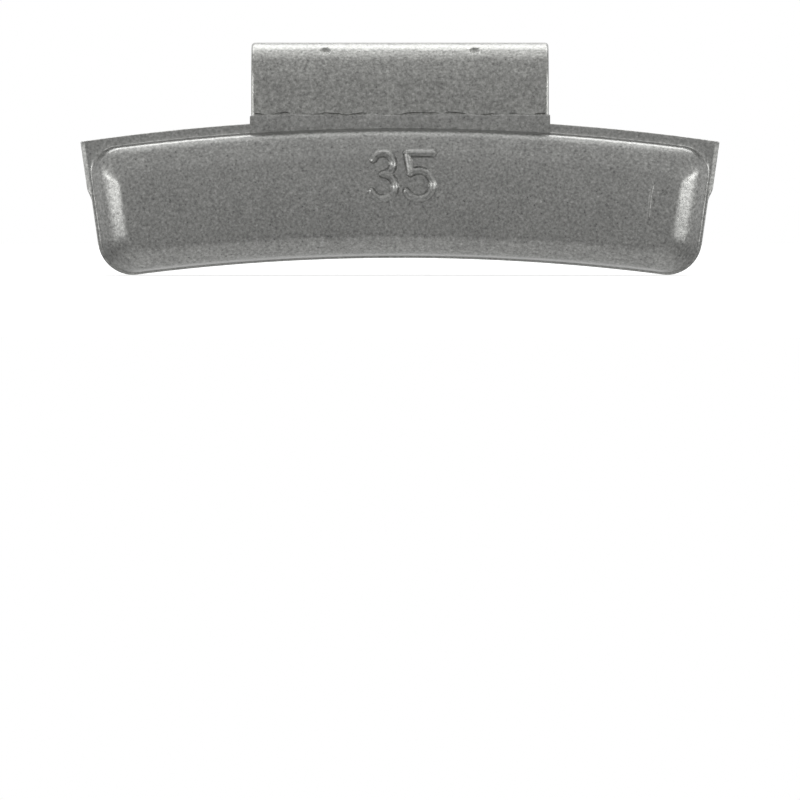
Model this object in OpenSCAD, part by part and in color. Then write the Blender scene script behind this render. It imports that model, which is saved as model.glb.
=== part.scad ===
// Clip-on wheel balance weight: a curved zinc casting with a spring-steel clip cast into it.
// X runs along the weight, Z points away from the axle and the front faces -Y.
// The origin is the middle of the flat face that lies against the rim.

/* [Casting] */
// Radius of the casting's lower edge about the axle
arc_r = 189; // [150:1:260]
// Length over the two ears
body_len = 57.8; // [48:0.1:80]
// Height of the rear half, from the lower edge to the top
body_h = 12.6; // [11.5:0.1:16]
// Thickness, from the rim face to the front face
body_t = 7.5; // [6.5:0.1:10]
// Radius of the round between the rim face and the top
shoulder_r = 3.9; // [2:0.1:5]
// Height of the chamfer between the rim face and the lower edge
foot_chamfer_h = 1.15; // [0.3:0.05:2]
// Depth of the chamfer between the rim face and the lower edge
foot_chamfer_t = 0.65; // [0.2:0.05:1.5]
// Radius of the two lower corners, seen from the front
corner_r = 3.2; // [1.5:0.1:3.6]

/* [Ears] */
// Height of each ear, down the end of the casting
ear_h = 4.2; // [2:0.1:5]
// How far each ear stands out past the end below it
ear_step = 0.27; // [0.1:0.01:0.8]
// Height over which an ear runs out into the end below it
ear_blend = 1.3; // [0.6:0.1:1.6]

/* [Front half] */
// How far the front half's top edge lies below the top of the rear half
face_drop = 0.8; // [0.4:0.05:1.6]
// Width of the rear half's ledge under the front half
face_lip = 0.15; // [0.1:0.01:0.6]
// Width of the rear half's ledge at the ends, below the ears
face_margin = 0.28; // [0.1:0.01:0.8]
// Radius of the front half's upper corners, seen from the front
face_corner_r = 2.3; // [1:0.1:3.5]
// Height that the wall and the slope above the front face take together
top_round = 2.3; // [1:0.1:3.4]
// Height that the wall and the slope below the front face take together
bottom_round = 2; // [1:0.1:3]
// Length that the wall and the slope at each end of the front face take together
end_round = 2.6; // [1:0.1:5]
// How far the upper wall leans in
top_lean = 0.3; // [0.1:0.05:0.9]
// How far the lower wall leans in
bottom_lean = 0.5; // [0.1:0.05:0.9]
// How far the wall at each end leans in
end_lean = 1; // [0.1:0.05:2]
// Share of the front half's depth that its wall takes, before the slope begins
wall_share = 0.6; // [0.3:0.05:0.8]
// Share of the wall and of the slope that the soft corner between them takes
wall_soft = 0.5; // [0.1:0.05:0.6]
// Share of the slope that the soft corner between it and the front face takes
slope_soft = 0.25; // [0.1:0.05:0.5]
// How far that soft corner runs into the front face
flat_run = 0.4; // [0.1:0.05:0.8]
// Share of its radius that a corner keeps where it reaches the front face
corner_keep = 0.6; // [0.3:0.05:1]

/* [Clip] */
// Width of the strip
clip_w = 26.9; // [18:0.1:38]
// Thickness of the strip
clip_t = 1; // [0.7:0.05:1.4]
// Distance from the rim face to the strip
clip_setback = 4.1; // [3.4:0.1:4.8]
// Height of the clip above the top of the casting
clip_rise = 6.9; // [5.5:0.1:9]
// Inner radius of the bend over the front
front_bend_r = 2.3; // [1.5:0.1:3]
// Inner radius of the first stretch of the hook
crown_r = 3.6; // [2:0.1:6]
// Inner radius of the second stretch of the hook
back_r = 6.5; // [4:0.1:10]
// Inner radius of the last stretch of the hook
grip_r = 11; // [7:0.1:16]
// Angle that each of the three stretches turns through
hook_turn = 20; // [14:1:24]
// Length of the straight tip
tip_len = 1.4; // [0.5:0.1:3]

/* [Clip details] */
// Depth of the tang in the casting
tang_depth = 7.6; // [5:0.1:8.5]
// Number of locking holes in the tang
hole_count = 3; // [1:1:4]
// Diameter of the locking holes
hole_d = 2.6; // [1.5:0.1:3.5]
// Distance from each end of the strip to the middle of the nearest hole
hole_margin = 5.4; // [2.5:0.1:6]
// Distance of the locking holes above the tang's lower edge
hole_lift = 2.9; // [2.2:0.1:3.2]
// Diameter of the dimples in the bend
dimple_d = 1; // [0.5:0.05:1.6]
// Depth of the dimples
dimple_depth = 0.25; // [0.1:0.01:0.4]
// Distance between the two dimples
dimple_pitch = 13.5; // [6:0.1:17]
// Slope of the strip at the dimples, above the horizontal
dimple_angle = 50; // [30:1:75]
// Height of the collar of zinc above the top of the casting
collar_h = 0.45; // [0.2:0.05:1]
// Thickness of the collar
collar_t = 0.12; // [0.06:0.01:0.4]

/* [Hidden] */

// Heights are measured from the lower edge at mid-length, and run outward from the axle
stem_back_y = -clip_setback;
parting_y = stem_back_y - clip_t;
shoulder = min(shoulder_r, clip_setback - collar_t);
rim_face_mid = (foot_chamfer_h + body_h - shoulder) / 2;
axle_z = -arc_r - rim_face_mid;
top_z = body_h - rim_face_mid;

// Lengths along the arc are measured at mid-height
mid_r = arc_r + body_h / 2;
ear_angle = asin(body_len / 2 / (arc_r + body_h));
ear_u = mid_r * ear_angle * PI / 180;
end_u = ear_u - ear_step;

corner_steps = 10;
arc_steps = 24;
soft_steps = 5;
blend_steps = 8;
shoulder_steps = 16;
bend_step = 4;
round_fn = 48;
revolve_fn = 720;
revolve_spare = 2;
cut_spare = 5;
corner_sink = 0.03;
face_overlap = 0.05;
hole_spare = 1;
collar_root = 3;
corner_share = 0.45;

// A place on the arc: u along it and v above the lower edge, as X and Z
function on_arc(p) =
    let (a = p[0] / mid_r * 180 / PI, r = arc_r + p[1])
    [r * sin(a), r * cos(a) + axle_z];

// Points of a round from angle a0 through the given turn
function round_points(cx, cy, r, a0, turn, steps) =
    [for (k = [0:steps]) let (a = a0 + turn * k / steps) [cx + r * cos(a), cy + r * sin(a)]];

// The casting's right end in u and v, from above the ear down to below the lower corner
ear_foot_v = body_h - ear_h;
right_end = concat(
    [[ear_u, body_h + cut_spare]],
    [for (k = [0:blend_steps])
        let (s = k / blend_steps)
        [end_u + ear_step * (1 + cos(180 * s)) / 2, ear_foot_v - ear_blend * s]],
    round_points(end_u - corner_r, corner_r - corner_sink, corner_r, 0, -90, corner_steps)
);
left_end = [for (k = [len(right_end) - 1:-1:0]) [-right_end[k][0], right_end[k][1]]];

// Section of the rear half, as distance from the axle and Y
rear_section = concat(
    [
        [arc_r, parting_y],
        [arc_r, -foot_chamfer_t],
        [arc_r + foot_chamfer_h, 0]
    ],
    round_points(arc_r + body_h - shoulder, -shoulder, shoulder, 90, -90, shoulder_steps),
    [[arc_r + body_h, parting_y]]
);

// Outline of the front half in u and v, anticlockwise from the lower right corner. The place is
// given as the shares of the wall's lean, of the slope's run and of the run into the front face.
function drawn_in(place, lean, run) = place[0] * lean + place[1] * run + place[2] * flat_run;
function face_outline(place) =
    let (
        side = end_u - face_margin - drawn_in(place, end_lean, end_round),
        top = body_h - face_drop - drawn_in(place, top_lean, top_round),
        bottom = face_lip + drawn_in(place, bottom_lean, bottom_round),
        shrink = 1 - (1 - corner_keep) * place[1],
        room = (top - bottom) * corner_share,
        upper = min(face_corner_r * shrink, room),
        lower = min((corner_r - face_lip) * shrink, room)
    )
    concat(
        round_points(side - lower, bottom + lower, lower, -90, 90, corner_steps),
        round_points(side - upper, top - upper, upper, 0, 90, corner_steps),
        [for (k = [1:arc_steps - 1]) [(side - upper) * (1 - 2 * k / arc_steps), top]],
        round_points(upper - side, top - upper, upper, 90, 90, corner_steps),
        round_points(lower - side, bottom + lower, lower, 180, 90, corner_steps),
        [for (k = [1:arc_steps - 1]) [(side - lower) * (2 * k / arc_steps - 1), bottom]]
    );

// A soft corner: places from a to c that bend round b
function soft_corner(a, b, c) =
    [for (k = [0:soft_steps])
        let (t = k / soft_steps)
        (1 - t) * (1 - t) * a + 2 * t * (1 - t) * b + t * t * c];

// Places of the front half's rings. The wall starts a little inside the rear half.
face_depth = body_t - clip_setback - clip_t;
wall_h = face_depth * wall_share;
wall_top = [1, 0, 0];
slope_top = [0, 1, 0];
face_places = concat(
    [wall_top * -face_overlap / wall_h],
    soft_corner(
        wall_top * (1 - wall_soft),
        wall_top,
        wall_top * (1 - wall_soft) + slope_top * wall_soft
    ),
    soft_corner(
        wall_top * slope_soft + slope_top * (1 - slope_soft),
        slope_top,
        slope_top + [0, 0, 1]
    )
);

// Middle line of the clip's strip: each row is a place in Y and Z and the heading there
strip_bends = [
    [front_bend_r + clip_t / 2, 90],
    [crown_r + clip_t / 2, hook_turn],
    [back_r + clip_t / 2, hook_turn],
    [grip_r + clip_t / 2, hook_turn]
];
function right_of(a) = [sin(a), -cos(a)];
function along(a) = [cos(a), sin(a)];
function bent(bends, p, a, i = 0) =
    i == len(bends)
    ? [[p, a], [p + tip_len * along(a), a]]
    : let (r = bends[i][0], turn = bends[i][1], steps = ceil(turn / bend_step))
    concat(
        [for (k = [0:steps - 1])
            let (b = a - turn * k / steps)
            [p + r * (right_of(a) - right_of(b)), b]],
        bent(bends, p + r * (right_of(a) - right_of(a - turn)), a - turn, i + 1)
    );

stem_y = stem_back_y - clip_t / 2;
bend_start_z = top_z + clip_rise - clip_t - front_bend_r;
tang_z = top_z - tang_depth;
strip_line = concat(
    [[[stem_y, tang_z], 90]],
    bent(strip_bends, [stem_y, bend_start_z], 90)
);
strip_outline = concat(
    [for (s = strip_line) s[0] - right_of(s[1]) * clip_t / 2],
    [for (k = [len(strip_line) - 1:-1:0])
        strip_line[k][0] + right_of(strip_line[k][1]) * clip_t / 2]
);

// A dimple is a shallow cap of this ball
dimple_ball_r = (pow(dimple_d / 2, 2) + pow(dimple_depth, 2)) / (2 * dimple_depth);
dimple_reach = front_bend_r + clip_t + dimple_ball_r - dimple_depth;
bend_centre_y = stem_back_y + front_bend_r;

module rear_half() {
    spread = ear_angle + revolve_spare;
    intersection() {
        translate([0, 0, axle_z])
            rotate([-90, 0, 0])
                rotate([0, 0, -90 - spread])
                    rotate_extrude(angle = 2 * spread, $fn = revolve_fn)
                        polygon(rear_section);
        translate([0, cut_spare, 0])
            rotate([90, 0, 0])
                linear_extrude(height = body_t + 2 * cut_spare)
                    polygon([for (p = concat(right_end, left_end)) on_arc(p)]);
    }
}

module front_half() {
    count = len(face_outline(slope_top));
    last = len(face_places) - 1;
    points = [for (place = face_places, p = face_outline(place))
        let (q = on_arc(p))
        [q[0], parting_y - place[0] * wall_h - place[1] * face_depth, q[1]]];
    walls = [for (r = [0:last - 1], k = [0:count - 1])
        let (
            next = (k + 1) % count,
            back = r * count,
            front = back + count
        )
        each [
            [front + k, front + next, back + next],
            [front + k, back + next, back + k]
        ]];
    // Each cap is a strip of facets between its upper and its lower edge
    half = count / 2;
    upper = [for (k = [0:half - 1]) corner_steps + 1 + k];
    lower = [for (k = [0:half - 1]) (corner_steps - k + count) % count];
    front = last * count;
    caps = [for (k = [0:half - 2])
        each [
            [upper[k], upper[k + 1], lower[k + 1]],
            [upper[k], lower[k + 1], lower[k]],
            [front + upper[k], front + lower[k + 1], front + upper[k + 1]],
            [front + upper[k], front + lower[k], front + lower[k + 1]]
        ]];
    polyhedron(points = points, faces = concat(caps, walls));
}

module collar() {
    width = clip_w + 2 * collar_t;
    depth = clip_t + 2 * collar_t;
    translate([-width / 2, parting_y - collar_t, top_z - collar_root])
        cube([width, depth, collar_root + collar_h]);
}

module bent_strip() {
    rotate([90, 0, 90])
        linear_extrude(height = clip_w, center = true)
            polygon(strip_outline);
}

module locking_holes() {
    pitch = (clip_w - 2 * hole_margin) / max(hole_count - 1, 1);
    for (k = [0:hole_count - 1])
        translate([(k - (hole_count - 1) / 2) * pitch, stem_y, tang_z + hole_lift])
            rotate([90, 0, 0])
                cylinder(d = hole_d, h = clip_t + hole_spare, center = true, $fn = round_fn);
}

module dimples() {
    for (side = [-1, 1])
        translate([
            side * dimple_pitch / 2,
            bend_centre_y - dimple_reach * cos(dimple_angle),
            bend_start_z + dimple_reach * sin(dimple_angle)
        ])
            sphere(r = dimple_ball_r, $fn = round_fn);
}

module clip() {
    color([0.53, 0.53, 0.51])
        difference() {
            bent_strip();
            locking_holes();
            dimples();
        }
}

module weight_body() {
    color([0.47, 0.47, 0.46])
        difference() {
            union() {
                rear_half();
                front_half();
                collar();
            }
            difference() {
                bent_strip();
                locking_holes();
            }
        }
}

weight_body();
clip();
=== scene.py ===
"""Looks of a clip-on wheel balance weight: a painted zinc casting on a spring-steel clip, in a studio."""

import math

import bpy
import numpy as np
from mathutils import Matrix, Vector, noise


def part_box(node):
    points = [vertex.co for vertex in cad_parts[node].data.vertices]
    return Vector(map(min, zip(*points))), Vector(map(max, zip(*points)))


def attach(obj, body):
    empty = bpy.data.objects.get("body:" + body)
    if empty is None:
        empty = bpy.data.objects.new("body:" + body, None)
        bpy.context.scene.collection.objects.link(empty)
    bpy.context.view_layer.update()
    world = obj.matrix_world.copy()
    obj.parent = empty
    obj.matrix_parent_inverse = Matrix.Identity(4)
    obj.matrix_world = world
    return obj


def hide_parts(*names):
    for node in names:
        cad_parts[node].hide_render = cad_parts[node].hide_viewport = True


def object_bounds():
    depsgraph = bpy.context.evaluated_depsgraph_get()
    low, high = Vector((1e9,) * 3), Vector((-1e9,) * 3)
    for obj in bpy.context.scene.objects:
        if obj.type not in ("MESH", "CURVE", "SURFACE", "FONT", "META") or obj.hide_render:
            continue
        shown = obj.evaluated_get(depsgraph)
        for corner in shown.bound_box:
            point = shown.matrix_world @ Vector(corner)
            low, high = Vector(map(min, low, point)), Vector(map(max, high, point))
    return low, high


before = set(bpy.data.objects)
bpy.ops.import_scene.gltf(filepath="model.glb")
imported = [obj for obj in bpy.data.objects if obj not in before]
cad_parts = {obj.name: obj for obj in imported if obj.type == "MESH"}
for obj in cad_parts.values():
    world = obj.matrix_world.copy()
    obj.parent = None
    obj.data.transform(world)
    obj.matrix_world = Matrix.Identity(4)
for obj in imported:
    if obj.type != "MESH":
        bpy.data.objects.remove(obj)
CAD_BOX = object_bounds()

# Lengths are in millimetres until a mesh is made
MM = 0.001
cast_low, cast_high = (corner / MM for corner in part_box("weight_body"))
clip_low, clip_high = (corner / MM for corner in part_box("clip"))

# Rear half of the casting, as in the CAD model
ARC_R = 189.0
BODY_H = 12.6
BODY_LEN = cast_high.x - cast_low.x
BODY_T = -cast_low.y
SHOULDER_R = 3.9
FOOT_CHAMFER_H = 1.15
FOOT_CHAMFER_T = 0.65
CORNER_R = 3.2
EAR_H = 4.2
EAR_STEP = 0.27
EAR_BLEND = 1.3

# Front half of the casting, each size within 0.2 of the CAD model's
FACE_DROP = 0.88
FACE_LIP = 0.15
FACE_MARGIN = 0.28
FACE_CORNER_R = 2.3
TOP_ROUND = 2.3
BOTTOM_ROUND = 1.8
END_ROUND = 2.6
BOTTOM_LEAN = 0.32
TOP_LEAN = 0.2
END_LEAN = 1.0
WALL_SHARE = 0.6
WALL_SOFT = 0.5
SLOPE_SOFT = 0.25
FLAT_RUN = 0.4
CORNER_KEEP = 0.6

# Clip, as in the CAD model
CLIP_W = clip_high.x - clip_low.x
CLIP_T = 1.0
CLIP_SETBACK = 4.1
FRONT_BEND_R = 2.3
HOOK_RADII = (3.6, 6.5, 11.0)
HOOK_TURN = math.radians(20)
TIP_LEN = 1.4
HOLE_COUNT = 3
HOLE_D = 2.6
HOLE_MARGIN = 5.4
HOLE_LIFT = 2.9
DIMPLE_D = 1.0
DIMPLE_DEPTH = 0.25
DIMPLE_PITCH = 13.5
DIMPLE_ANGLE = math.radians(50)
COLLAR_H = 0.45
COLLAR_T = 0.12

# Places that follow from those sizes
ear_foot = BODY_H - EAR_H
top_z = cast_high.z - COLLAR_H
axle_z = top_z - BODY_H - ARC_R
parting_y = -CLIP_SETBACK - CLIP_T
stem_y = -CLIP_SETBACK - CLIP_T / 2
bend_start_z = clip_high.z - CLIP_T - FRONT_BEND_R
tang_z = clip_low.z
mid_r = ARC_R + BODY_H / 2
ear_u = mid_r * math.asin(BODY_LEN / 2 / (ARC_R + BODY_H))
end_u = ear_u - EAR_STEP
face_depth = BODY_T + parting_y
wall_h = face_depth * WALL_SHARE

# Softened edges and faces of the real metal
FACE_CROWN = 0.22
TIP_R = 0.14
BACK_EDGE_R = 0.22
TOP_EDGE_R = 0.12
LIP_EDGE_R = 0.11
EAR_BEVEL = 0.42
EAR_BEVEL_LOW = 0.44
EAR_BEVEL_SLOPE = 0.45
CLIP_EDGE_R = 0.32

# Largest share of the ear tip's round that the back edge takes, and the angle from which an edge is sharp
TIP_KEEP = 0.9
SHARP_ANGLE = math.radians(32)

# Fillet at the foot of the front half: its size, its largest share of the shelf's width, and the least
# sideways turn at which the shelf's end limits it
ROOT_FILLET = 0.3
ROOT_SHARE = 0.6
LEAST_TURN = 0.05

# Collar of zinc round the clip's root. Its height and its seam's depth are a mean share with a swing of
# noise, never under a least share. Each ring has a share of its height and a share of its wall drawn in.
COLLAR_SINK = 3.0
COLLAR_MEAN, COLLAR_LEAST = 0.72, 0.25
COLLAR_WAVE, COLLAR_SWING = 0.55, 0.4
COLLAR_FINE_WAVE, COLLAR_FINE_SWING = 2.75, 0.12
COLLAR_NOISE, COLLAR_FINE_NOISE = (3.1, 0.7), (8.4, 2.2)
COLLAR_RINGS = ((0, 0), (0.1, 0), (0.8, 0.05), (1, 0.5))
SEAM_R = 0.13
SEAM_MEAN, SEAM_LEAST = 0.6, 0.05
SEAM_WAVE, SEAM_SWING = 0.8, 1.2
SEAM_NOISE = (5.2, 4.4)
SEAM_LIFT = 0.5

# Raised number on the front face. Its bowls are shares of its height, with arcs as a start and a turn in
# degrees. Strokes reach MARK_SINK below the face, and MARK_ARCH is the power of their section's fall.
MARK_H = 4.1
MARK_W = 2.5
MARK_GAP = 0.9
MARK_Z = 2.5
MARK_STROKE = 0.8
MARK_RISE = 0.34
MARK_SINK = 0.5
MARK_ARCH = 1.5
STROKE_END = 0.02
THREE_HIGH, THREE_HIGH_ARC = 0.23, (155, -245)
THREE_LOW, THREE_LOW_ARC = 0.27, (90, -245)
FIVE_BOWL, FIVE_ARC = 0.31, (125, -275)
FIVE_INSET = 0.15

# Faint cast ridge on the face, as places in X and Z
RIDGE = ((22.6, 2.2), (22.8, 1.6), (22.6, 0.9), (22.5, -0.1), (22.4, -1.15))
RIDGE_W = 0.26
RIDGE_RISE = 0.045

# Paint: sizes in metres of its grain, flakes, specks, clouds and orange peel, and its gloss
GRAIN = 0.00026
FLAKE = 0.00015
SPECK = 0.00042
CLOUD = 0.003
PEEL = 0.0009
GRAIN_H = 0.000012
PEEL_H = 0.00002
ROUGH_LOW, ROUGH_HIGH = 0.27, 0.39
METALLIC = 0.8
CASTING_COAT, CLIP_COAT = 0.7, 0.2
COAT_ROUGH = 0.3
CASTING_COLOR = (0.196, 0.197, 0.189)
CLIP_COLOR = (0.23, 0.231, 0.221)

# Paint: where each piece's pattern starts, how that shifts it along each axis, and the patterns' detail
CASTING_SEED, CLIP_SEED = 0.31, 0.77
SEED_SHIFT = (1, 0.7, 1.3)
GRAIN_DETAIL, GRAIN_ROUGH = 3.0, 0.65
SOFT_DETAIL = 2.0

# Paint: spans of noise in use, how each kind of spot lightens or darkens it, and the specks' share and edge
NOISE_SPAN = (0.25, 0.75)
INNER_SPAN = (0.3, 0.7)
GRAIN_TONE = (0.5, 1.5)
FLAKE_TONE = (0.84, 1.16)
CLOUD_TONE = (0.95, 1.05)
DARK_TONE, DARK_FROM = 0.72, 0.88
LIGHT_TONE, LIGHT_FROM = 1.3, 0.9
SPECK_EDGE = (0.18, 0.34)

# Studio, in metres
FILL = 0.6
FLOOR_SIZE = 0.35
FLOOR_COLOR = (0.45, 0.45, 0.45)
FLOOR_GLOW = 0.64
# Painted reflection: the floor's glow that only reflections see is white close to the part and in a slanted
# pool to each side of the camera, and FLOOR_DIM elsewhere; these sizes place it
FLOOR_DIM = 0.04
BESIDE = 0.021
DIM_FROM, DIM_TO = 0.0065, 0.018
ASIDE_FROM, ASIDE_TO = 0.024, 0.029
POOL_FROM, POOL_TO = 0.0115, 0.0145
POOL_SLANT = 0.8
POOL_BLEND = 0.005

# Lamps: azimuth and elevation in degrees, distance, width and height in metres, then radiance
LAMPS = {
    "top_light": (180, 58, 0.6, 0.9, 0.32, 3.8),
    "overhead_light": (0, 86, 0.6, 0.9, 0.2, 1.4),
    "left_light": (-66, 0.5, 0.5, 0.16, 0.065, 18.0),
    "right_light": (69, 0.5, 0.5, 0.16, 0.065, 18.0),
}
LAMP_AIM = Vector((0, 0, 0.003))

# Camera and the photograph's frame, whose places are in pixels. The camera's own places are in metres
# but for its height, which is in millimetres, as its sensor's width is.
IMAGE_SIDE = 800
MM_PER_PIXEL = 0.0904
LOW_EDGE_PIXEL = 258
MIDDLE_PIXEL = 400
CAMERA_AWAY = 1.0
CAMERA_REACH = (0.01, 10)
CAMERA_Z = 4.0
SENSOR = 36.0

# Mesh density: steps along the casting's outline, then rings from its rim face forward
CORNER_N = 14
SIDE_PARTS = (14, 12, 10)
SIDE_N = sum(SIDE_PARTS)
LONG_N = 180
BACK_EDGE_N = 5
SHOULDER_N = 22
FRONT_EDGE_N = 7
FILLET_N = 6
SLOPE_N = 9

# Mesh density of the clip, the collar and the strokes
STEM_N = 24
BEND_N = 64
HOOK_N = (12, 10, 8)
TIP_N = 4
STRIP_EDGE_N = 6
WIDE_N, DIMPLE_N = 12, 22
DIMPLE_REACH = 0.7
COLLAR_N = 240
SEAM_N = 16
HOLE_N = 48
STROKE_N = 24
STROKE_END_N = 6
MARK_ARC_N = 30
FIVE_ARC_N = 34
MARK_STRAIGHT_N = 10


def arc_points(cx, cy, r, start, turn, steps):
    """Points of a round, as an array of [u, v]."""
    a = np.radians(start + turn * np.linspace(0, 1, steps + 1))
    return np.stack([cx + r * np.cos(a), cy + r * np.sin(a)], 1)


def straight(p, q, steps):
    """Points from p to q, as an array of [u, v]."""
    t = np.linspace(0, 1, steps + 1)[:, None]
    return np.array(p) * (1 - t) + np.array(q) * t


def whole_outline(stretches):
    """The closed outline whose right half is these stretches, from its lowest to its highest middle point."""
    right = np.concatenate([stretches[0]] + [s[1:] for s in stretches[1:]])
    left = right[-2:0:-1] * [-1, 1]
    return np.concatenate([right, left])


def end_at(v):
    """How far the casting's end lies from the middle, at a height above the lower edge."""
    s = np.clip((ear_foot - v) / EAR_BLEND, 0, 1)
    return end_u + EAR_STEP * (1 + np.cos(np.pi * s)) / 2


def end_edge(v):
    """Width of the softened front edge of the casting's end, at a height above the lower edge."""
    ear = smooth_step(ear_foot - EAR_BLEND, ear_foot, v)
    bevel = EAR_BEVEL_LOW + (EAR_BEVEL - EAR_BEVEL_LOW) * smooth_step(ear_foot, BODY_H, v)
    return LIP_EDGE_R + (bevel - LIP_EDGE_R) * ear


def end_heights(top):
    """Heights of the end's points, closer together where the ear runs out."""
    marks = (CORNER_R, ear_foot - EAR_BLEND, ear_foot, top - TIP_R)
    parts = [np.linspace(low, high, n + 1)[1:] for low, high, n in zip(marks, marks[1:], SIDE_PARTS)]
    return np.concatenate([[CORNER_R], *parts])


def rear_outline(bottom, top, drawn=0):
    """Outline of the rear half with its lower and upper edges at these heights.
    drawn is the share of its softened edge that it has been drawn in by."""
    bottom = bottom + LIP_EDGE_R * drawn
    r = CORNER_R - LIP_EDGE_R * drawn
    start = math.degrees(math.asin(max(-1, (bottom - CORNER_R) / r)))
    corner = arc_points(end_u - CORNER_R, CORNER_R, r, start, -start, CORNER_N)
    heights = end_heights(top - TOP_EDGE_R * drawn)
    side = np.stack([end_at(heights) - end_edge(heights) * drawn, heights], 1)
    tip_u = ear_u - TIP_R - EAR_BEVEL * drawn
    tip = arc_points(tip_u, heights[-1], TIP_R, 0, 90, CORNER_N)
    return whole_outline([
        straight((0, bottom), corner[0], LONG_N // 2),
        corner,
        side,
        tip,
        straight(tip[-1], (0, tip[-1][1]), LONG_N // 2),
    ])


def edge_table():
    """Width of the softened front edge at each point of the rear outline, and its share of an ear's bevel."""
    heights = end_heights(BODY_H)
    turn = np.linspace(0, 1, CORNER_N + 1)

    def flat(width, ear, steps):
        return np.stack([np.full(steps + 1, width), np.full(steps + 1, ear)], 1)

    table = whole_outline([
        flat(LIP_EDGE_R, 0, LONG_N // 2),
        flat(LIP_EDGE_R, 0, CORNER_N),
        np.stack([end_edge(heights), smooth_step(ear_foot - EAR_BLEND, ear_foot, heights)], 1),
        np.stack([EAR_BEVEL + (TOP_EDGE_R - EAR_BEVEL) * turn, 1 - turn], 1),
        flat(TOP_EDGE_R, 0, LONG_N // 2),
    ])
    return np.abs(table[:, 0]), table[:, 1]


def front_outline(lean, slope, flat):
    """Outline of the front half at shares of its wall's lean, of its slope and of the run into the flat."""
    def drawn_in(wall_lean, run):
        return lean * wall_lean + slope * run + flat * FLAT_RUN

    side = end_u - FACE_MARGIN - drawn_in(END_LEAN, END_ROUND)
    top = BODY_H - FACE_DROP - drawn_in(TOP_LEAN, TOP_ROUND)
    bottom = FACE_LIP + drawn_in(BOTTOM_LEAN, BOTTOM_ROUND)
    shrink = 1 - (1 - CORNER_KEEP) * slope
    upper = FACE_CORNER_R * shrink
    lower = (CORNER_R - FACE_LIP) * shrink
    return whole_outline([
        straight((0, bottom), (side - lower, bottom), LONG_N // 2),
        arc_points(side - lower, bottom + lower, lower, -90, 90, CORNER_N),
        straight((side, bottom + lower), (side, top - upper), SIDE_N),
        arc_points(side - upper, top - upper, upper, 0, 90, CORNER_N),
        straight((side - upper, top), (0, top), LONG_N // 2),
    ])


def outward(outline):
    """Unit normals of a closed outline, pointing out of it."""
    ahead = np.roll(outline, -1, 0) - outline
    behind = outline - np.roll(outline, 1, 0)
    ahead /= np.linalg.norm(ahead, axis=1)[:, None]
    behind /= np.linalg.norm(behind, axis=1)[:, None]
    along = ahead + behind
    along /= np.linalg.norm(along, axis=1)[:, None]
    return np.stack([along[:, 1], -along[:, 0]], 1)


def on_arc(outline, y):
    """Places of an outline's points in X, Y and Z. y is one depth or one for each point."""
    a = outline[:, 0] / mid_r
    r = ARC_R + outline[:, 1]
    return np.stack([r * np.sin(a), np.broadcast_to(y, a.shape), r * np.cos(a) + axle_z], 1)


def smooth_step(low, high, value):
    """0 below low, 1 above high, and a soft rise between them."""
    t = np.clip((value - low) / (high - low), 0, 1)
    return t * t * (3 - 2 * t)


def quarter_turn(count):
    """Evenly spaced angles from 0 to a right angle, both included."""
    return np.linspace(0, math.pi / 2, count)


def slope_rings():
    """Shares of lean, slope and flat for each ring of the front half, from its wall to its flat face."""
    turns = [((1 - t) ** 2, 2 * t * (1 - t), t * t) for t in np.linspace(0, 1, SLOPE_N)]
    rings = [(a * (1 - WALL_SOFT) + b + c * (1 - WALL_SOFT), c * WALL_SOFT, 0) for a, b, c in turns]
    rings += [(a * SLOPE_SOFT, a * (1 - SLOPE_SOFT) + b + c, c) for a, b, c in turns]
    return rings


def casting_rings():
    """Rings of the casting, from the rim face forward."""
    rings = []
    # Rim face, its edge, then the shoulder above and the chamfer below
    for a in quarter_turn(BACK_EDGE_N):
        rings.append(on_section(-BACK_EDGE_R * (1 - math.cos(a)), BACK_EDGE_R * (1 - math.sin(a))))
    for a in quarter_turn(SHOULDER_N)[1:]:
        y = -SHOULDER_R * (1 - math.cos(a))
        if y < -BACK_EDGE_R:
            rings.append(on_section(y, 0))
    widths, ear = edge_table()
    for a in quarter_turn(FRONT_EDGE_N):
        drawn = 1 - math.cos(a)
        rounded = widths * (1 - math.sin(a))
        bevelled = widths * EAR_BEVEL_SLOPE * (1 - drawn)
        y = parting_y + rounded * (1 - ear) + bevelled * ear
        rings.append(on_arc(rear_outline(0, BODY_H, drawn), y))
    # Shelf, and the fillet at the foot of the front half, which the shelf's width limits
    foot = front_outline(0, 0, 0)
    foot_lean = front_outline(1, 0, 0)
    foot_normals = outward(foot)
    shelf = rear_outline(0, BODY_H, 1) - foot
    to_end = end_at(foot[:, 1]) - end_edge(foot[:, 1]) - np.abs(foot[:, 0])
    to_end /= np.maximum(LEAST_TURN, np.abs(foot_normals[:, 0]))
    shelf_w = np.minimum(to_end, np.sum(shelf * foot_normals, axis=1))
    fillet = np.minimum(ROOT_FILLET, shelf_w * ROOT_SHARE)[:, None]
    rings.append(on_arc(foot + (foot_normals * fillet + shelf) / 2, parting_y))
    for a in quarter_turn(FILLET_N):
        rise = fillet * (1 - math.cos(a))
        lean = rise / wall_h * (foot_lean - foot)
        outline = foot + lean + foot_normals * fillet * (1 - math.sin(a))
        rings.append(on_arc(outline, parting_y - rise[:, 0]))
    for lean, slope, flat in slope_rings():
        y = parting_y - lean * wall_h - slope * face_depth
        outline = front_outline(lean, slope, flat)
        rings.append(on_arc(outline, crowned(outline[:, 1], y)))
    return rings


def crowned(v, y):
    """Depth of the front half at a height, as its face falls back a little towards its two long edges."""
    middle = (FACE_LIP + BODY_H - FACE_DROP) / 2
    share = (parting_y - y) / face_depth
    return y + FACE_CROWN * share * np.minimum(1, ((v - middle) / middle) ** 2)


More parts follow.
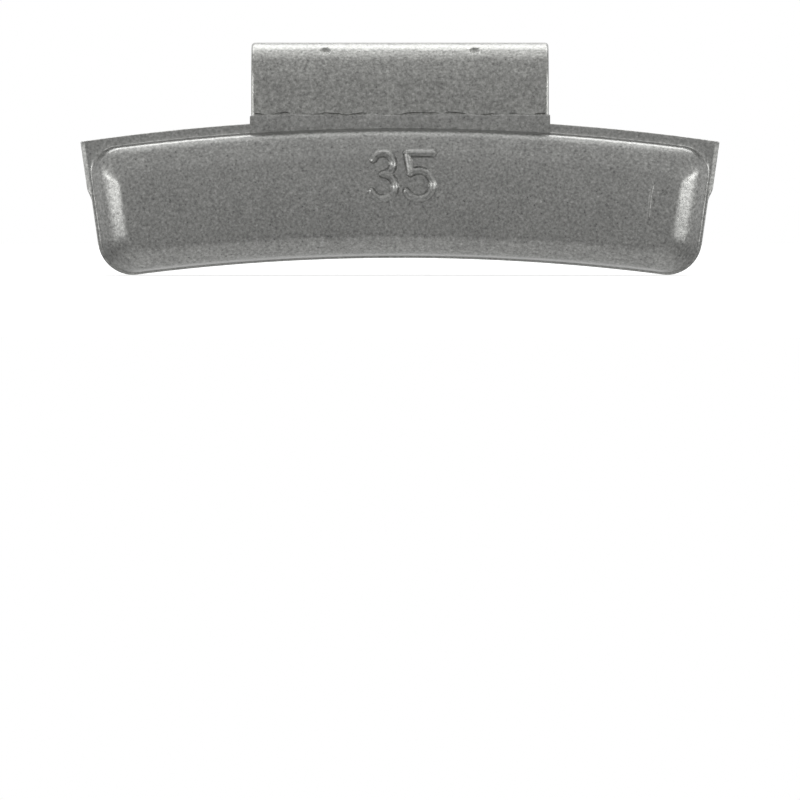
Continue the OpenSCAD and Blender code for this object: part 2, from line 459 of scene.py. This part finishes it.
def on_section(y, inset):
    """The ring of the rear half at one depth, drawn in by inset."""
    top = BODY_H
    if y > -SHOULDER_R:
        top += math.sqrt(SHOULDER_R ** 2 - (SHOULDER_R + y) ** 2) - SHOULDER_R
    bottom = FOOT_CHAMFER_H * max(0, 1 + y / FOOT_CHAMFER_T)
    outline = rear_outline(bottom, top)
    return on_arc(outline - outward(outline) * min(inset, TIP_R * TIP_KEEP), y)


def ring_sides(count):
    """Which of a ring's points lie on its lower, right, upper and left side, from the left or from below."""
    across = LONG_N + CORNER_N
    up = SIDE_N + CORNER_N
    start = -(across // 2)
    sides = []
    for length in (across, up, across, up):
        sides.append(np.arange(start, start + length + 1) % count)
        start += length
    bottom, right, top, left = sides
    return bottom, right, top[::-1], left[::-1]


def patch(ring):
    """The points inside a ring, as a grid that is stretched between its four sides."""
    bottom, right, top, left = (ring[side] for side in ring_sides(len(ring)))
    s = np.linspace(0, 1, len(bottom))[None, :, None]
    t = np.linspace(0, 1, len(left))[:, None, None]
    grid = (1 - t) * bottom[None] + t * top[None] + (1 - s) * left[:, None] + s * right[:, None]
    low_corners = (1 - s) * (1 - t) * bottom[0] + s * (1 - t) * bottom[-1]
    high_corners = (1 - s) * t * top[0] + s * t * top[-1]
    return grid - (low_corners + high_corners)


def patch_faces(count, ring_start, inner_start, flip):
    """Quads of a patch whose border is a ring's own points."""
    bottom, right, top, left = ring_sides(count)
    up, across = len(left), len(bottom)
    index = np.zeros((up, across), int)
    index[0, :] = ring_start + bottom
    index[:, -1] = ring_start + right
    index[-1, :] = ring_start + top
    index[:, 0] = ring_start + left
    index[1:-1, 1:-1] = inner_start + np.arange((up - 2) * (across - 2)).reshape(up - 2, across - 2)
    quads = np.stack([index[:-1, :-1], index[:-1, 1:], index[1:, 1:], index[1:, :-1]], -1).reshape(-1, 4)
    return quads[:, ::-1] if flip else quads


def band_faces(rings, count):
    """Quads between rings that follow each other, each with the same number of points."""
    k = np.arange(count)
    after = (k + 1) % count
    bands = []
    for r in range(rings - 1):
        back, front = r * count, (r + 1) * count
        bands.append(np.stack([back + k, back + after, front + after, front + k], 1))
    return np.concatenate(bands)


def make_object(name, points, faces):
    """A mesh object from points in millimetres."""
    mesh = bpy.data.meshes.new(name)
    mesh.from_pydata((np.asarray(points) * MM).tolist(), [], [list(f) for f in faces])
    mesh.validate()
    obj = bpy.data.objects.new(name, mesh)
    bpy.context.scene.collection.objects.link(obj)
    return obj


def casting_body():
    """The whole casting but its collar and its raised strokes."""
    rings = casting_rings()
    count = len(rings[0])
    ring_points = np.concatenate(rings)
    back = patch(rings[0])[1:-1, 1:-1].reshape(-1, 3)
    face = patch(rings[-1])[1:-1, 1:-1].reshape(-1, 3)
    front = np.stack([face[:, 0], face_at(face[:, [0, 2]]), face[:, 2]], 1)
    points = np.concatenate([ring_points, back, front])
    start = len(ring_points)
    faces = np.concatenate([
        band_faces(len(rings), count),
        patch_faces(count, 0, start, True),
        patch_faces(count, (len(rings) - 1) * count, start + len(back), False),
    ])
    return make_object("casting", points, faces)


def strip_path():
    """Stations of the clip's middle line: Y, Z and heading, from the tang's lower edge to the tip."""
    radii = (FRONT_BEND_R, *HOOK_RADII)
    turns = (math.pi / 2, *([HOOK_TURN] * 3))
    counts = (BEND_N, *HOOK_N)
    heading = math.pi / 2
    stations = []
    for k in range(STEM_N):
        z = tang_z + CLIP_EDGE_R + (bend_start_z - tang_z - CLIP_EDGE_R) * k / STEM_N
        stations.append((stem_y, z, heading))
    place = np.array([stem_y, bend_start_z])
    for radius, turn, count in zip(radii, turns, counts):
        r = radius + CLIP_T / 2
        right = np.array([math.sin(heading), -math.cos(heading)])
        centre = place + r * right
        for k in range(count):
            a = heading - turn * k / count
            stations.append((*(centre - r * np.array([math.sin(a), -math.cos(a)])), a))
        heading -= turn
        place = centre - r * np.array([math.sin(heading), -math.cos(heading)])
    for reach in np.linspace(0, TIP_LEN - CLIP_EDGE_R, TIP_N):
        stations.append((place[0] + reach * math.cos(heading), place[1] + reach * math.sin(heading), heading))
    return stations


def strip_columns():
    """Places across the strip's flat sides, closer together round the two dimples."""
    half = CLIP_W / 2 - CLIP_EDGE_R
    near = DIMPLE_D * DIMPLE_REACH
    dense = np.linspace(-near, near, DIMPLE_N)
    middle = DIMPLE_PITCH / 2
    left = np.linspace(-half, -middle - near, WIDE_N)
    centre = np.linspace(-middle + near, middle - near, DIMPLE_N)
    right = -left[::-1]
    return np.unique(np.round(np.concatenate([left, dense - middle, centre, dense + middle, right]), 5))


def strip_loop(columns):
    """The strip's section as [across, outward], from the left edge's middle, over the outer side and back."""
    a = quarter_turn(STRIP_EDGE_N + 1)[:-1]
    r, half_t, half_w = CLIP_EDGE_R, CLIP_T / 2, CLIP_W / 2
    rise = np.stack([-half_w + r * (1 - np.cos(a)), half_t - r + r * np.sin(a)], 1)
    outer = np.stack([columns, np.full(len(columns), half_t)], 1)
    over = np.concatenate([[[-half_w, 0]], rise, outer, rise[::-1] * [-1, 1]])
    under = np.concatenate([[[half_w, 0]], (over[1:] * [1, -1])[::-1]])
    return np.concatenate([over, under])


def dimpled(points):
    """Presses the two dimples into the outer side of the bend."""
    bend_centre = np.array([-CLIP_SETBACK + FRONT_BEND_R, bend_start_z])
    way = np.array([-math.cos(DIMPLE_ANGLE), math.sin(DIMPLE_ANGLE)])
    face = bend_centre + way * (FRONT_BEND_R + CLIP_T)
    for side in (-1, 1):
        centre = np.array([side * DIMPLE_PITCH / 2, *face])
        off = points - centre
        rho = np.linalg.norm(off, axis=1) / (DIMPLE_D / 2)
        depth = DIMPLE_DEPTH * np.clip(1 - rho ** 2, 0, 1)
        points[:, 1:] -= depth[:, None] * way
    return points


def clip_body():
    """The bent strip, with rounded edges and dimples, before its tang's holes are cut."""
    loop = strip_loop(strip_columns())
    count = len(loop)
    rings = []

    def add(station, inset, reach):
        y, z, a = station
        section = loop.copy()
        section[:, 0] -= np.sign(section[:, 0]) * np.minimum(inset, np.abs(section[:, 0]))
        section[:, 1] -= np.sign(section[:, 1]) * np.minimum(inset, np.abs(section[:, 1]))
        outer = np.array([-math.sin(a), math.cos(a)])
        y, z = y + reach * math.cos(a), z + reach * math.sin(a)
        rings.append(np.stack([section[:, 0], y + section[:, 1] * outer[0], z + section[:, 1] * outer[1]], 1))

    stations = strip_path()
    ends = quarter_turn(STRIP_EDGE_N)
    for a in ends[::-1][:-1]:
        add(stations[0], CLIP_EDGE_R * (1 - math.cos(a)), -CLIP_EDGE_R * math.sin(a))
    for station in stations:
        add(station, 0, 0)
    for a in ends[1:]:
        add(stations[-1], CLIP_EDGE_R * (1 - math.cos(a)), CLIP_EDGE_R * math.sin(a))
    points = dimpled(np.concatenate(rings))
    k = np.arange(1, count // 2 - 1)

    def cap(start, flip):
        quads = np.stack([k, k + 1, count - k - 1, count - k], 1) + start
        sides = [[0, 1, count - 1], [count // 2 - 1, count // 2, count // 2 + 1]]
        faces = quads.tolist() + (np.array(sides) + start).tolist()
        return [f[::-1] for f in faces] if flip else faces

    faces = band_faces(len(rings), count).tolist()
    faces += cap(0, True) + cap((len(rings) - 1) * count, False)
    return make_object("spring_clip", points, faces)


def combined(obj, other, operation):
    """Applies a boolean with another object."""
    modifier = obj.modifiers.new(operation, "BOOLEAN")
    modifier.object = other
    modifier.operation = operation
    modifier.solver = "MANIFOLD"
    graph = bpy.context.evaluated_depsgraph_get()
    made = bpy.data.meshes.new_from_object(obj.evaluated_get(graph))
    obj.modifiers.clear()
    obj.data = made


def spent(obj, other, operation):
    """Applies a boolean with another object, then removes that one."""
    combined(obj, other, operation)
    bpy.data.objects.remove(other)


def tube_rings(loops, name):
    """A closed body from loops of equal length, with its two ends closed by fans."""
    count = len(loops[0])
    points = np.concatenate([*loops, [loops[0].mean(0)], [loops[-1].mean(0)]])
    faces = band_faces(len(loops), count).tolist()
    last = (len(loops) - 1) * count
    first_middle = len(loops) * count
    for k in range(count):
        after = (k + 1) % count
        faces.append([first_middle, after, k])
        faces.append([first_middle + 1, last + k, last + after])
    return make_object(name, points, faces)


def collar_rise(x):
    """How far the collar reaches above the casting at a place across the clip."""
    wave = noise.noise(Vector((x * COLLAR_WAVE, *COLLAR_NOISE)))
    fine = noise.noise(Vector((x * COLLAR_FINE_WAVE, *COLLAR_FINE_NOISE)))
    share = COLLAR_MEAN + COLLAR_SWING * wave + COLLAR_FINE_SWING * fine
    return COLLAR_H * min(1, max(COLLAR_LEAST, share))


def seam_body():
    """The shallow broken groove along the collar's upper edge, where the zinc has shrunk from the steel."""
    a = np.linspace(0, 2 * math.pi, SEAM_N, endpoint=False)
    half_w = CLIP_W / 2 - CLIP_EDGE_R
    loops = []
    for x in np.linspace(-half_w, half_w, COLLAR_N):
        depth = SEAM_MEAN + SEAM_SWING * noise.noise(Vector((x * SEAM_WAVE, *SEAM_NOISE)))
        r = SEAM_R * min(1, max(SEAM_LEAST, depth))
        z = top_z + collar_rise(x) + r * SEAM_LIFT
        y = parting_y - SEAM_R + r
        loops.append(np.stack([np.full(len(a), x), y + r * np.cos(a), z + r * np.sin(a)], 1))
    return tube_rings(loops, "seam")


def collar_body():
    """The thin uneven collar of zinc round the clip's root."""
    half_w = CLIP_W / 2 + COLLAR_T
    low_z = top_z - COLLAR_SINK
    across = np.linspace(-half_w, half_w, COLLAR_N)
    loops = []
    for share, lean in COLLAR_RINGS:
        thin = COLLAR_T * lean
        front, back = [], []
        for x in across:
            z = top_z + collar_rise(x) * share if share else low_z
            edge = max(-half_w + thin, min(half_w - thin, x))
            front.append((edge, parting_y - COLLAR_T + thin, z))
            back.append((edge, -CLIP_SETBACK + COLLAR_T - thin, z))
        loops.append(np.array(front + back[::-1]))
    return tube_rings(loops, "collar")


def face_at(places):
    """Depth of the front face at places in X and Z."""
    heights = np.hypot(places[:, 0], places[:, 1] - axle_z) - ARC_R
    return crowned(heights, np.full(len(places), -BODY_T))


def stroke(path, name, width, height):
    """A raised stroke on the front face with an arched section, along a path in X and Z."""
    path = np.array(path, float)
    along = np.gradient(path, axis=0)
    along /= np.linalg.norm(along, axis=1)[:, None]
    side = np.stack([along[:, 1], -along[:, 0]], 1)
    a = np.linspace(0, 2 * math.pi, STROKE_N, endpoint=False)
    rise = np.where(np.sin(a) > 0, height, -MARK_SINK) * (1 - np.abs(np.cos(a)) ** MARK_ARCH)
    spread = np.cos(a) * width / 2
    ends = quarter_turn(STROKE_END_N)
    reach = width / 2 * np.sin(ends)
    shrink = np.cos(ends) * (1 - STROKE_END) + STROKE_END
    stations = [(path[0] - along[0] * r, side[0], s) for r, s in zip(reach[:0:-1], shrink[:0:-1])]
    stations += [(p, d, 1) for p, d in zip(path, side)]
    stations += [(path[-1] + along[-1] * r, side[-1], s) for r, s in zip(reach[1:], shrink[1:])]
    loops = []
    for centre, across, scale in stations:
        flat = centre + across * (spread * scale)[:, None]
        loops.append(np.stack([flat[:, 0], face_at(flat) - rise * scale, flat[:, 1]], 1))
    return tube_rings(loops, name)


def mark_strokes():
    """Strokes of the raised number, which gives the mass in grams."""
    low = MARK_Z - MARK_H / 2
    high = low + MARK_H
    three_high, three_low, five_r = MARK_H * THREE_HIGH, MARK_H * THREE_LOW, MARK_H * FIVE_BOWL
    three_x = -MARK_GAP / 2 - three_low
    upper_bowl = arc_points(three_x, high - three_high, three_high, *THREE_HIGH_ARC, MARK_ARC_N)
    lower_bowl = arc_points(three_x, low + three_low, three_low, *THREE_LOW_ARC, MARK_ARC_N)
    five_right = MARK_GAP / 2 + MARK_W
    five_bowl = arc_points(five_right - five_r, low + five_r, five_r, *FIVE_ARC, FIVE_ARC_N)
    corner = (MARK_GAP / 2 + FIVE_INSET, high)
    top_bar = straight((five_right, high), corner, MARK_STRAIGHT_N)
    stem = straight(corner, five_bowl[0], MARK_STRAIGHT_N)
    return [upper_bowl, lower_bowl, top_bar, stem, five_bowl]


def tang_holes():
    """The zinc that fills the tang's locking holes."""
    pitch = (CLIP_W - 2 * HOLE_MARGIN) / (HOLE_COUNT - 1)
    pillars = []
    for k in range(HOLE_COUNT):
        middle = ((k - (HOLE_COUNT - 1) / 2) * pitch, stem_y, tang_z + HOLE_LIFT)
        ring = arc_points(0, 0, HOLE_D / 2, 0, 360, HOLE_N)[:-1]
        loops = [
            np.stack([middle[0] + ring[:, 0], np.full(len(ring), middle[1] + y), middle[2] + ring[:, 1]], 1)
            for y in (CLIP_T, -CLIP_T)
        ]
        pillars.append(tube_rings(loops, "hole"))
    return pillars


class Nodes:
    """A material's node tree, with short calls to add and join nodes."""

    def __init__(self, tree):
        self.tree = tree
        tree.nodes.clear()

    def add(self, kind, inputs=None, **settings):
        node = self.tree.nodes.new(kind)
        for key, value in settings.items():
            setattr(node, key, value)
        for key, value in (inputs or {}).items():
            if isinstance(value, bpy.types.NodeSocket):
                self.tree.links.new(value, node.inputs[key])
            else:
                node.inputs[key].default_value = value
        return node

    def math(self, operation, a, b=0.5):
        node = self.add("ShaderNodeMath", operation=operation)
        for socket, value in zip(node.inputs, (a, b)):
            if isinstance(value, bpy.types.NodeSocket):
                self.tree.links.new(value, socket)
            else:
                socket.default_value = value
        return node.outputs[0]

    def remap(self, value, low, high, to_low, to_high):
        node = self.add("ShaderNodeMapRange", {
            "Value": value, "From Min": low, "From Max": high, "To Min": to_low, "To Max": to_high,
        })
        return node.outputs["Result"]


def metallic_paint(name, color, coat, seed):
    """Silver-grey metallic paint: flakes, dark and light specks, and a faintly uneven surface."""
    material = bpy.data.materials.new(name)
    material.use_nodes = True
    n = Nodes(material.node_tree)
    place = n.add("ShaderNodeTexCoord").outputs["Object"]
    shift = [seed * share for share in SEED_SHIFT]
    at = n.add("ShaderNodeMapping", {"Vector": place, "Location": shift}).outputs["Vector"]
    grain = n.add("ShaderNodeTexNoise", {
        "Vector": at, "Scale": 1 / GRAIN, "Detail": GRAIN_DETAIL, "Roughness": GRAIN_ROUGH,
    })
    flakes = n.add("ShaderNodeTexVoronoi", {"Vector": at, "Scale": 1 / FLAKE})
    flake = n.add("ShaderNodeSeparateColor", {"Color": flakes.outputs["Color"]}).outputs["Red"]
    cloud = n.add("ShaderNodeTexNoise", {"Vector": at, "Scale": 1 / CLOUD, "Detail": SOFT_DETAIL})
    specks = n.add("ShaderNodeTexVoronoi", {"Vector": at, "Scale": 1 / SPECK})
    speck_pick = n.add("ShaderNodeSeparateColor", {"Color": specks.outputs["Color"]})
    dot = n.remap(specks.outputs["Distance"], *SPECK_EDGE, 1, 0)
    dark = n.math("MULTIPLY", dot, n.math("GREATER_THAN", speck_pick.outputs["Green"], DARK_FROM))
    light = n.math("MULTIPLY", dot, n.math("GREATER_THAN", speck_pick.outputs["Blue"], LIGHT_FROM))
    tone = n.remap(grain.outputs["Fac"], *NOISE_SPAN, *GRAIN_TONE)
    tone = n.math("MULTIPLY", tone, n.remap(flake, 0, 1, *FLAKE_TONE))
    tone = n.math("MULTIPLY", tone, n.remap(cloud.outputs["Fac"], *INNER_SPAN, *CLOUD_TONE))
    tone = n.math("MULTIPLY", tone, n.remap(dark, 0, 1, 1, DARK_TONE))
    tone = n.math("MULTIPLY", tone, n.remap(light, 0, 1, 1, LIGHT_TONE))
    paint = n.add("ShaderNodeMix", data_type="RGBA", blend_type="MULTIPLY")
    paint.inputs["Factor"].default_value = 1.0
    n.tree.links.new(tone, paint.inputs["A"])
    paint.inputs["B"].default_value = (*color, 1)
    rough = n.remap(grain.outputs["Fac"], *INNER_SPAN, ROUGH_LOW, ROUGH_HIGH)
    orange_peel = n.add("ShaderNodeTexNoise", {"Vector": at, "Scale": 1 / PEEL, "Detail": SOFT_DETAIL})
    bump = n.add("ShaderNodeBump", {
        "Height": orange_peel.outputs["Fac"],
        "Strength": 1.0,
        "Distance": PEEL_H,
    })
    fine = n.add("ShaderNodeBump", {
        "Height": grain.outputs["Fac"],
        "Strength": 1.0,
        "Distance": GRAIN_H,
        "Normal": bump.outputs["Normal"],
    })
    shader = n.add("ShaderNodeBsdfPrincipled", {
        "Base Color": paint.outputs["Result"],
        "Metallic": METALLIC,
        "Roughness": rough,
        "Coat Weight": coat,
        "Coat Roughness": COAT_ROUGH,
        "Coat Normal": fine.outputs["Normal"],
        "Normal": fine.outputs["Normal"],
    })
    n.add("ShaderNodeOutputMaterial", {"Surface": shader.outputs["BSDF"]})
    return material


def seen_directly(n):
    """1 for rays from the camera and for those that a surface reflects or lets through, 0 for soft light."""
    path = n.add("ShaderNodeLightPath").outputs
    seen = n.math("MAXIMUM", path["Is Camera Ray"], path["Is Glossy Ray"])
    return n.math("MAXIMUM", seen, path["Is Transmission Ray"])


def studio_world():
    """A weak even light that is seen as white."""
    world = bpy.data.worlds.new("studio")
    bpy.context.scene.world = world
    world.use_nodes = True
    n = Nodes(world.node_tree)
    fill = n.add("ShaderNodeBackground", {"Color": (1, 1, 1, 1), "Strength": FILL})
    white = n.add("ShaderNodeBackground", {"Color": (1, 1, 1, 1), "Strength": 1.0})
    mix = n.add("ShaderNodeMixShader", {0: seen_directly(n), 1: fill.outputs[0], 2: white.outputs[0]})
    n.add("ShaderNodeOutputWorld", {"Surface": mix.outputs[0]})


def studio_floor():
    """A plain matt floor that is seen as white. It also glows as painted reflection light that only metal's
    reflections see: white close to the part and in a pool to the left and right of the camera, and dimmer
    elsewhere."""
    low = CAD_BOX[0].z
    mesh = bpy.data.meshes.new("floor")
    s = FLOOR_SIZE
    mesh.from_pydata([(-s, -s, low), (s, -s, low), (s, s, low), (-s, s, low)], [], [(0, 1, 2, 3)])
    floor = bpy.data.objects.new("floor", mesh)
    bpy.context.scene.collection.objects.link(floor)
    material = bpy.data.materials.new("floor")
    material.use_nodes = True
    n = Nodes(material.node_tree)
    matt = n.add("ShaderNodeBsdfDiffuse", {"Color": (*FLOOR_COLOR, 1)})
    place = n.add("ShaderNodeTexCoord").outputs["Object"]
    way = n.add("ShaderNodeSeparateXYZ", {0: place}).outputs
    # Painted reflection: where the glow for reflections is white, close to the part and in a pool to each
    # side, and where it is dim
    ahead = n.math("ABSOLUTE", way["Y"])
    aside = n.math("ABSOLUTE", way["X"])
    beside = n.math("SUBTRACT", aside, BESIDE)
    slanted = n.math("SUBTRACT", beside, n.math("MULTIPLY", ahead, POOL_SLANT))
    pool_side = n.remap(slanted, -POOL_BLEND, POOL_BLEND, 0, 1)
    pool = n.math("MULTIPLY", pool_side, n.remap(ahead, POOL_FROM, POOL_TO, 0, 1))
    close = n.remap(ahead, DIM_FROM, DIM_TO, 1, 0)
    near = n.math("MULTIPLY", close, n.remap(aside, ASIDE_FROM, ASIDE_TO, 1, 0))
    mirrored = n.remap(n.math("MAXIMUM", near, pool), 0, 1, FLOOR_DIM, 1)
    path = n.add("ShaderNodeLightPath").outputs
    through = n.math("MAXIMUM", path["Is Glossy Ray"], path["Is Transmission Ray"])
    reflected = n.math("MULTIPLY", through, mirrored)
    seen = n.math("MULTIPLY", path["Is Camera Ray"], FLOOR_GLOW)
    glow = n.add("ShaderNodeEmission", {"Color": (1, 1, 1, 1), "Strength": n.math("ADD", seen, reflected)})
    both = n.add("ShaderNodeAddShader", {0: matt.outputs[0], 1: glow.outputs[0]})
    n.add("ShaderNodeOutputMaterial", {"Surface": both.outputs[0]})
    mesh.materials.append(material)


def softbox(name, azimuth, elevation, distance, width, height, radiance):
    """A flat lamp that faces the object. Azimuth 0 is the camera's side and 90 is the object's right."""
    a, e = math.radians(azimuth), math.radians(elevation)
    way = Vector((math.sin(a) * math.cos(e), -math.cos(a) * math.cos(e), math.sin(e)))
    lamp = bpy.data.lights.new(name, "AREA")
    lamp.shape = "RECTANGLE"
    lamp.size, lamp.size_y = width, height
    lamp.energy = radiance * math.pi * width * height
    obj = bpy.data.objects.new(name, lamp)
    bpy.context.scene.collection.objects.link(obj)
    obj.location = LAMP_AIM + way * distance
    obj.rotation_euler = way.to_track_quat("Z", "Y").to_euler()


def studio_camera():
    """Looks level at the part from the front, from far off, and turns down a little to place it high."""
    camera = bpy.data.cameras.new("camera")
    obj = bpy.data.objects.new("camera", camera)
    bpy.context.scene.collection.objects.link(obj)
    reach = CAMERA_AWAY + parting_y * MM
    camera.sensor_width = SENSOR
    camera.lens = SENSOR * reach / (IMAGE_SIDE * MM_PER_PIXEL * MM)
    low_edge = top_z - BODY_H
    centre_z = low_edge - (IMAGE_SIDE / 2 - LOW_EDGE_PIXEL) * MM_PER_PIXEL
    height = (CAMERA_Z - centre_z) * MM
    obj.location = ((MIDDLE_PIXEL - IMAGE_SIDE / 2) * -MM_PER_PIXEL * MM, -CAMERA_AWAY, CAMERA_Z * MM)
    obj.rotation_euler = (math.pi / 2 - math.atan(height / reach), 0, 0)
    camera.clip_start, camera.clip_end = CAMERA_REACH
    bpy.context.scene.camera = obj


def dressed(obj, node, material):
    """Gives a piece its finish and lets it stand for its CAD node."""
    obj.data.shade_smooth()
    obj.data.set_sharp_from_angle(angle=SHARP_ANGLE)
    obj.data.materials.clear()
    obj.data.materials.append(material)
    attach(obj, "root")
    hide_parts(node)


casting = casting_body()
clip = clip_body()
for pillar in tang_holes():
    spent(clip, pillar, "DIFFERENCE")
spent(casting, collar_body(), "UNION")
for number, path in enumerate(mark_strokes()):
    spent(casting, stroke(path, f"stroke_{number}", MARK_STROKE, MARK_RISE), "UNION")
spent(casting, stroke(RIDGE, "ridge", RIDGE_W, RIDGE_RISE), "UNION")
combined(casting, clip, "DIFFERENCE")
seam = seam_body()
combined(clip, seam, "DIFFERENCE")
spent(casting, seam, "DIFFERENCE")
casting_paint = metallic_paint("casting_paint", CASTING_COLOR, CASTING_COAT, CASTING_SEED)
clip_paint = metallic_paint("clip_paint", CLIP_COLOR, CLIP_COAT, CLIP_SEED)
dressed(casting, "weight_body", casting_paint)
dressed(clip, "clip", clip_paint)

studio_world()
studio_floor()
for name, settings in LAMPS.items():
    softbox(name, *settings)
studio_camera()

bpy.context.scene.view_settings.view_transform = "Standard"
